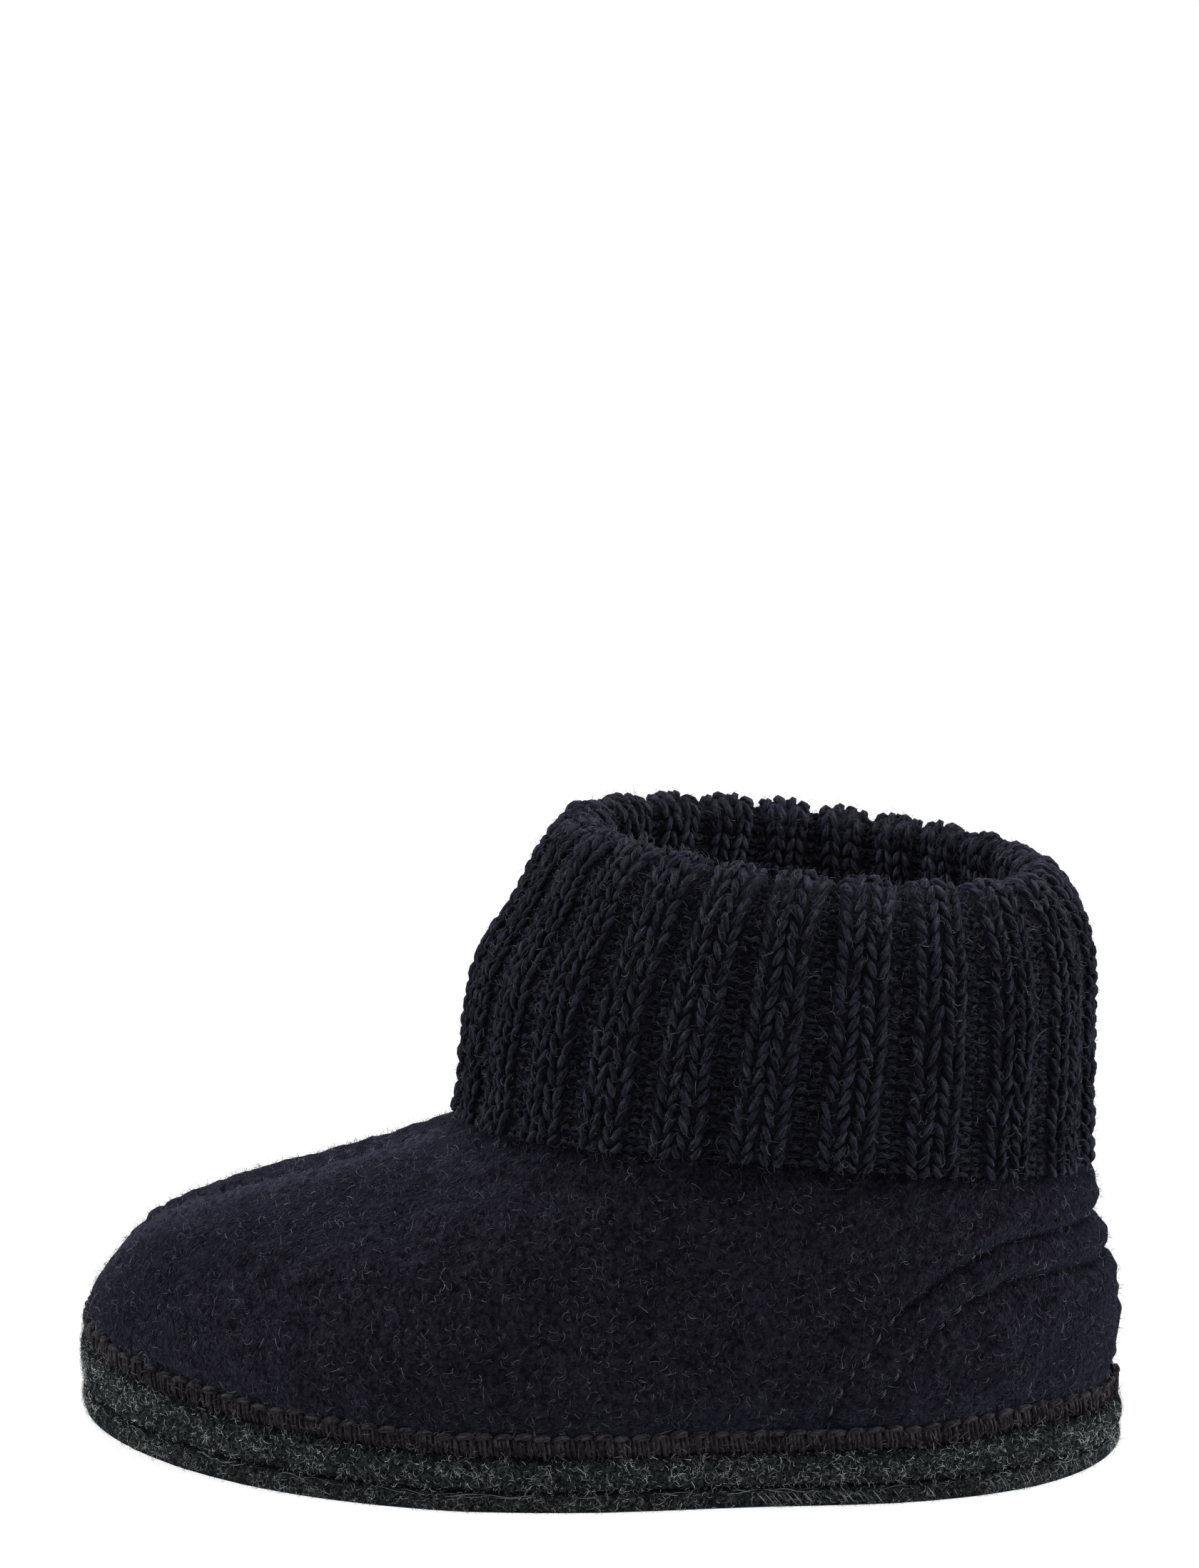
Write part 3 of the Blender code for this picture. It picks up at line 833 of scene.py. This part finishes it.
def sewn_row(table, pitch, length, shift):
    """Short thin tubes at even steps along a sewn row, up to a height, arched and with closed ends."""
    line = counter_line(table)
    run = np.append(0, np.cumsum(np.linalg.norm(np.diff(line, axis=0), axis=1)))
    bow = np.linspace(-1, 1, 5)
    place = np.arange(pitch, run[-1] - pitch, pitch)[:, None] + 0.5 * length * bow
    path = np.stack([np.interp(place, run, line[:, axis]) for axis in range(3)], axis=-1)
    path = path[path[:, 2, 2] < THREAD_TOP]
    out = path - HEEL_MIDDLE
    out = out / np.linalg.norm(out, axis=-1, keepdims=True)
    path = path - (0.05 + 0.45 * bow**2)[None, :, None] * out
    path[..., 2] += shift
    return tubes(path, 0.1 * np.sqrt(1 - bow**2), out, 5)


rows = [sewn_row(table, 3.7, 2.1, shift) for table in COUNTER_ROWS for shift in (-0.2, 0.25)]
add_piece("counter_stitches", join(rows), thread)

# %% [markdown]
# ## The rib knit cuff
# The cuff is a knitted tube turned down over itself. Two columns of knit stitches stand out and two of
# purl stitches lie back, all the way round. A bump pattern would look flat at the fold, so the stitches
# themselves are laid on a folded sheet: a knit stitch shows two legs that lean together like a V, and a
# purl stitch shows the short bar across its head.

# %% The folded sheet
Fold = namedtuple("Fold", "height front back half lean side_lift")
CUFF_FOLDS = (
    Fold(63.9, 15.9, -78.6, 30.4, 0.070, 0.0),
    Fold(78.0, 11.8, -76.8, 28.2, 0.080, 0.0),
    Fold(90.0, 6.2, -74.2, 25.8, 0.090, 0.0),
    Fold(98.0, 1.8, -72.2, 24.2, 0.100, 0.0),
    Fold(102.5, 0.2, -71.6, 24.0, 0.105, 0.0),
    Fold(104.4, 2.8, -74.2, 26.8, 0.105, 0.0),
    Fold(102.8, 5.4, -77.0, 29.8, 0.105, 0.0),
    Fold(98.2, 8.4, -80.4, 32.2, 0.105, 0.0),
    Fold(90.0, 12.6, -82.3, 34.0, 0.100, 0.5),
    Fold(80.0, 18.6, -82.4, 35.2, 0.090, 1.4),
    Fold(68.0, 21.0, -82.5, 35.8, 0.080, 3.0),
    Fold(60.0, 21.8, -82.6, 36.1, 0.070, 4.4),
    Fold(HEM_HEIGHT, 22.9, -82.9, 36.3, HEM_LEAN, HEM_LIFT),
)
CREST_ROW, LAST_FOLD = 5, len(CUFF_FOLDS) - 1


def cuff_point(where, angle):
    """A point of the folded sheet: an oval at that row of the fold table, leaning back, with the hem
    lifted at the sides."""
    row = Fold(*np.moveaxis(through(CUFF_FOLDS, where), -1, 0))
    middle = (row.front + row.back) / 2
    x, y = plan(angle, row.front, row.back, row.half, row.half, middle, OVAL_POWER, 0.0)
    z = row.height + row.lean * (x - LEAN_AXIS) + row.side_lift * np.sin(angle) ** 2
    return np.stack(np.broadcast_arrays(x, y, z), axis=-1)


def straight_turn(where, angle):
    """The angle that keeps a rib straight: where the oval's middle strays from a straight run between
    crest and edge, the rib turns back by as much."""
    front, back = np.moveaxis(through(CUFF_FOLDS, where)[..., 1:3], -1, 0)
    ends = np.array([(row.front + row.back) / 2 for row in CUFF_FOLDS])[[0, CREST_ROW, LAST_FOLD]]
    share = np.interp(where, fine_rows, fine_run)
    stops = np.interp([0, CREST_ROW, LAST_FOLD], fine_rows, fine_run)
    stray = (front + back) / 2 - np.interp(share, stops, ends)
    return angle + stray * np.sin(angle) / ((front - back) / 2)


def cuff_frame(where, angle):
    """The point of the sheet and the unit normal on the side that shows: outside on the flap, inside in
    the tube."""
    angle = straight_turn(where, angle)
    down = cuff_point(where + 0.02, angle) - cuff_point(where - 0.02, angle)
    around = cuff_point(where, angle + 0.004) - cuff_point(where, angle - 0.004)
    normal = np.cross(down, around)
    return cuff_point(where, angle), normal / np.linalg.norm(normal, axis=-1, keepdims=True)


print("Crest of the fold:", CUFF_FOLDS[CREST_ROW].height, "mm above the floor, before it leans")

# %% [markdown]
# Knitters call a row of stitches a course and a column a wale. The courses are evenly spaced down the
# sheet. The wales are not: in a two-by-two rib the knit wales crowd forward and hide the purl ones.

# %% Courses and wales
WALES, RIB_WALES, KNIT_SHARE, CREST_SWELL = 92, 4, 0.335, 0.09
RIB_PHASE, RIB_SPREAD, SIDE_SHIFT = 0.0359, 0.68, 0.026
COURSE_MM, RIB_RISE, CREST_SPREAD = 2.3, 0.6, 1.4
fine_rows = np.linspace(0, LAST_FOLD, 3000)
fine_side = cuff_point(fine_rows, np.full(3000, np.pi / 2))
fine_run = np.append(0, np.cumsum(np.linalg.norm(np.diff(fine_side, axis=0), axis=1)))
courses = int(round(fine_run[-1] / COURSE_MM))
course_rows = even_rows(cuff_point, LAST_FOLD, np.pi / 2, courses)
flap_turn = np.linspace(0, TURN, 2000)
flap_ring = cuff_point(np.full(2000, 9.0), flap_turn)
flap_run = np.append(0, np.cumsum(np.linalg.norm(np.diff(flap_ring, axis=0), axis=1)))
rib_measure = (1 - RIB_SPREAD) * flap_run / flap_run[-1] + RIB_SPREAD * flap_turn / TURN
rib_measure = rib_measure + SIDE_SHIFT * np.abs(np.sin(flap_turn))


def crest(where):
    """How near a row is to the fold's crest, from 0 to 1, by a bell curve."""
    return bell(where, CREST_ROW, CREST_SPREAD)


def rib_rise(where):
    """How far knit wales stand out and purl wales lie back, in mm: more on the crest than elsewhere."""
    return RIB_RISE * (1 + 0.7 * crest(where))


def wale_angle(wale, where):
    """The angle of a wale: knit wales are wide and purl wales narrow, most of all on the crest, and the
    ribs are a little wider at the sides than at the front and the back."""
    rib, part = np.divmod(wale + 0.5, RIB_WALES)
    knit = KNIT_SHARE + CREST_SWELL * crest(where)
    inside = np.where(part < 2, part * knit, 2 * knit + (part - 2) * (0.5 - knit))
    share = (RIB_WALES * (rib + inside) / WALES + RIB_PHASE) % 1
    return np.interp(share, rib_measure, flap_turn)


def rib_side(wale):
    """Plus one on knit wales and minus one on purl wales, with a soft change between."""
    return np.tanh(3 * np.sin(TURN * (wale + 0.5) / RIB_WALES))


print(f"Cuff: {courses} courses of {WALES} stitches on {fine_run[-1]:.1f} mm from seam to hem")

# %% [markdown]
# One leg and one bar are drawn as short tables of where the yarn is: across the stitch in wales, up in
# courses, out of the sheet in mm, and how thick it is. A leg starts behind the stitch below, swells where
# it lies in front and dives under the stitch above.

# %% One stitch
Yarn = namedtuple("Yarn", "across up out radius")
KNIT_LEG = (
    Yarn(0.08, -0.70, -0.30, 0.0),
    Yarn(0.13, -0.46, 0.12, 0.44),
    Yarn(0.21, -0.13, 0.36, 0.58),
    Yarn(0.30, 0.22, 0.34, 0.59),
    Yarn(0.38, 0.53, 0.02, 0.44),
    Yarn(0.43, 0.74, -0.40, 0.0),
)
PURL_HEAD = (
    Yarn(-0.66, -0.30, -0.30, 0.0),
    Yarn(-0.38, 0.00, 0.15, 0.40),
    Yarn(0.00, 0.14, 0.34, 0.46),
    Yarn(0.38, 0.00, 0.15, 0.40),
    Yarn(0.66, -0.30, -0.30, 0.0),
)
PURL_FOOT = (
    Yarn(-0.66, 0.84, -0.40, 0.0),
    Yarn(-0.38, 0.60, 0.05, 0.36),
    Yarn(0.00, 0.52, 0.20, 0.42),
    Yarn(0.38, 0.60, 0.05, 0.36),
    Yarn(0.66, 0.84, -0.40, 0.0),
)


print("A leg spans", round(KNIT_LEG[-1].up - KNIT_LEG[0].up, 2), "courses")

# %% [markdown]
# The tables are carried to every stitch at once. Every stitch gets its own small slip, as yarn does, and
# short fibres stand on the front of the yarn.

# %% All the stitches
FLAP_COURSES = 23


def yarn_paths(profile, first, last, wales, mirror, seed):
    """The same piece of yarn at every stitch of some courses and wales: the table's steps are added to
    each stitch's wale and course and carried on to the folded sheet. Returns paths, normals, radii and a
    tone: painted shade where the yarn thins to dive behind its neighbours, painted light on the fold's
    crest, and a little random tone for each stitch."""
    yarn = Yarn(*np.array(profile).T)
    rng = np.random.default_rng(seed)
    stitches = np.meshgrid(np.arange(first, last), wales, indexing="ij")
    course, wale = (part.reshape(-1, 1) for part in stitches)
    slip = rng.normal(size=(5, len(course), 1))
    place = wale + mirror * yarn.across + 0.045 * slip[0]
    where = np.interp(course - yarn.up + 0.09 * slip[1], np.arange(courses), course_rows)
    spot, normal = cuff_frame(where, wale_angle(place, where))
    near_crest = crest(where)
    outer_leg = wale % RIB_WALES == (mirror > 0)
    dome = np.where(outer_leg, -0.3 - 0.25 * near_crest, 0.0) * (profile is KNIT_LEG)
    rib = rib_rise(where) * np.sign(rib_side(wale))
    out = rib + yarn.out * (1 - 0.35 * near_crest) + dome + 0.1 * slip[2]
    # painted shade at the thin ends of the yarn, painted light on the crest, random tone per stitch
    tone = (0.55 + 0.45 * yarn.radius / yarn.radius.max()) * (1 + 0.12 * slip[4]) * (1 + 0.5 * near_crest)
    size = yarn.radius * (1 + 0.06 * slip[3]) * (1 + 0.25 * near_crest)
    return spot + out[..., None] * normal, normal, size, tone


def yarn_skin(path, normal, size, count, seed):
    """Random places on the front of the yarn, and the directions out of it there: a point of the path is
    moved out to the yarn's skin, at some turn from the sheet's normal."""
    rng = np.random.default_rng(seed)
    stitch, step = rng.integers(0, len(path), count), rng.integers(1, path.shape[1] - 1, count)
    side = np.cross(np.gradient(path, axis=1)[stitch, step], normal[stitch, step])
    side = side / np.linalg.norm(side, axis=-1, keepdims=True)
    turn = rng.uniform(-1.2, 1.2, (count, 1))
    skin = np.cos(turn) * normal[stitch, step] + np.sin(turn) * side
    return path[stitch, step] + size[stitch, step][:, None] * skin, skin


def knit_piece(name, first, last, tone, fuzz, replaced):
    """Both legs of the knit stitches and both bars of the purl stitches of some courses, in one mesh.
    Returns the short fibres that stand on the yarn, so many a kind of tube."""
    wales = np.arange(WALES)
    knit, purl = wales[wales % RIB_WALES < 2], wales[wales % RIB_WALES >= 2]
    parts, fine_parts = [], []
    # painted shade: the purl bars, lying back between the ribs, are darkened by their share
    for profile, stitch_wales, mirror, share, seed in (
        (KNIT_LEG, knit, -1, 1.0, 61),
        (KNIT_LEG, knit, 1, 1.0, 62),
        (PURL_HEAD, purl, 1, 0.75, 63),
        (PURL_FOOT, purl, 1, 0.6, 64),
    ):
        path, normal, size, own = yarn_paths(profile, first, last, stitch_wales, mirror, seed)
        parts.append(tubes(path, size, normal, 5, share * tone * own))
        roots, skin = yarn_skin(path, normal, size, fuzz, seed + 4)
        points, faces, shade, grain = fibres(roots, skin, 1.3, 1.6, 0.35, 0.055, 3, seed + 8)
        fine_parts.append((points, faces, 0.75 * shade**2.5, grain))
    add_piece(name, join(parts), rib_yarn, replaced)
    return join(fine_parts)


half_way = courses - FLAP_COURSES
flap_fuzz = knit_piece("cuff_flap_knit", half_way, courses, 1.0, 3500, ("cuff",))
# painted light: the knit inside the tube is painted more than twice as bright as the flap
inner_fuzz = knit_piece("cuff_inner_knit", 0, half_way, 2.1, 700, ())

# %% [markdown]
# Behind the stitches lies a thin sheet, so that no light comes through between the loops. Its colour
# is painted shade between the stitches, a little darker on the purl wales, and painted light inside the
# tube and along the crest.

# %% Sheet behind the stitches
sheet_wale = np.linspace(-0.5, WALES - 0.5, 276, endpoint=False)[None, :]
sheet_rows = even_rows(cuff_point, LAST_FOLD, np.pi / 2, 48)[:, None]
spot, normal = cuff_frame(sheet_rows + 0.0 * sheet_wale, wale_angle(sheet_wale, sheet_rows))
rib_depth = 0.9 * rib_rise(sheet_rows) * rib_side(sheet_wale) - 0.25 + 0.3 * crest(sheet_rows)
front = spot + rib_depth[..., None] * normal
back = spot + (rib_depth[..., None] - 0.8) * normal
sheet_grid = np.concatenate([front[::-1], back[::4]])
# painted light inside the tube and on the crest; painted shade, a little deeper on the purl wales
front_light_and_shade = np.where(sheet_rows < CREST_ROW, 2.4, 1 + 1.0 * crest(sheet_rows))
front_light_and_shade = front_light_and_shade * (0.65 + 0.05 * rib_side(sheet_wale))
sheet_shade = np.concatenate([front_light_and_shade[::-1], np.ones(back[::4].shape[:2])])
add_piece("cuff_backing", sheet(sheet_grid, sheet_shade, close_rows=True), rib_shadow)

# %% [markdown]
# Loose fibres stand off the knit, most of all along the fold where the light comes from behind.

# %% Fibres of the cuff
roots, out = scatter(front, normal, 4800, 71, 1 + 1.2 * crest(sheet_rows))
points, faces, tone, grain = fibres(roots + 0.9 * out, out, 1.9, 2.0, 0.75, 0.05, 4, 73)
loose_part = (points, faces, tone**1.7, grain)
add_piece("cuff_fibres", join([loose_part, flap_fuzz, inner_fuzz]), wool_fibre)

# %% [markdown]
# ## Floor, light and camera
# The photograph is taken in a bright white room: light comes from above and from all round, so the
# floor is white and the shadow is soft. One large sheet curves up behind the slipper.

# %% Floor and light
scene = bpy.context.scene
scene.view_settings.view_transform = "Standard"
# a plain studio sweep that glows a little itself, so that the eye sees white with hardly a shadow
glow = {"Emission Color": linear("#ffffff"), "Emission Strength": 0.87}
white = plain_finish("white_floor", {"Base Color": linear("#444444"), "Roughness": 0.9, **glow})[0]
depth = np.array([1.6, 0.4, -0.6, -1.2, -1.5, -1.72, -1.8, -1.8])
rise = np.array([0.0, 0.0, 0.0, 0.0, 0.05, 0.2, 0.5, 2.0])
floor_points = [(side, float(y), float(z)) for y, z in zip(depth, rise) for side in (-2.5, 2.5)]
floor_faces = [(2 * i, 2 * i + 2, 2 * i + 3, 2 * i + 1) for i in range(len(depth) - 1)]
floor_mesh = bpy.data.meshes.new("studio_floor")
floor_mesh.from_pydata(floor_points, [], floor_faces)
floor_mesh.polygons.foreach_set("use_smooth", [True] * len(floor_faces))
floor_mesh.materials.append(white)
floor = bpy.data.objects.new("studio_floor", floor_mesh)
scene.collection.objects.link(floor)

world = bpy.data.worlds.new("studio_world")
world.use_nodes = True
world.node_tree.nodes["Background"].inputs["Color"].default_value = linear("#ffffff")
world.node_tree.nodes["Background"].inputs["Strength"].default_value = 1.38
scene.world = world


def soft_box(name, place, size, power):
    """A square area light that looks at the slipper."""
    light = bpy.data.lights.new(name, "AREA")
    light.size = size
    light.energy = power
    box = bpy.data.objects.new(name, light)
    box.location = place
    direction = np.array([0.0, 0.0, 0.05]) - np.array(place)
    yaw = np.arctan2(direction[1], direction[0])
    pitch = np.arctan2(-direction[2], np.hypot(direction[0], direction[1]))
    box.rotation_euler = (0.0, pitch - np.pi / 2, yaw)
    scene.collection.objects.link(box)
    return box


soft_box("light_above", (0.0, -0.35, 1.5), 1.6, 22.0)
soft_box("light_toe", (1.3, 0.1, 0.45), 1.0, 41.5)
soft_box("light_heel", (-1.3, 0.1, 0.45), 1.0, 49.0)

print("Lights:", [light.name for light in bpy.data.lights])

# %% [markdown]
# The camera stands where the outline of the solids fits the photograph best. Its lens is the focal
# length in pixels of the photograph, turned to millimetres of sensor.

# %% Camera
PHOTO_HEIGHT, FOCAL_PIXELS, SENSOR_MM = 2197.0, 5170.0, 36.0
camera_data = bpy.data.cameras.new("photo_camera")
camera_data.sensor_fit = "VERTICAL"
camera_data.sensor_height = SENSOR_MM
camera_data.lens = SENSOR_MM * FOCAL_PIXELS / PHOTO_HEIGHT
camera_data.clip_start = 0.01
camera = bpy.data.objects.new("photo_camera", camera_data)
YAW, PITCH, DISTANCE, HEIGHT, SHIFT = np.radians(3.0), np.radians(11.85), 600.0, 240.0, 0.9
place_x = -SHIFT * np.cos(YAW) - (DISTANCE - SHIFT) * np.sin(YAW)
place_y = -SHIFT * np.sin(YAW) + (DISTANCE - SHIFT) * np.cos(YAW)
camera.location = (place_x * MM, place_y * MM, HEIGHT * MM)
camera.rotation_euler = (np.pi / 2 - PITCH, 0.0, np.pi + YAW)
scene.collection.objects.link(camera)
scene.camera = camera
print("Camera at", [round(value, 4) for value in camera.location])

# %% [markdown]
# ## Finish
# The view layer is brought up to date. The dressed slipper may stand a little proud of the solids, and no
# more.

# %% Finish
bpy.context.view_layer.update()
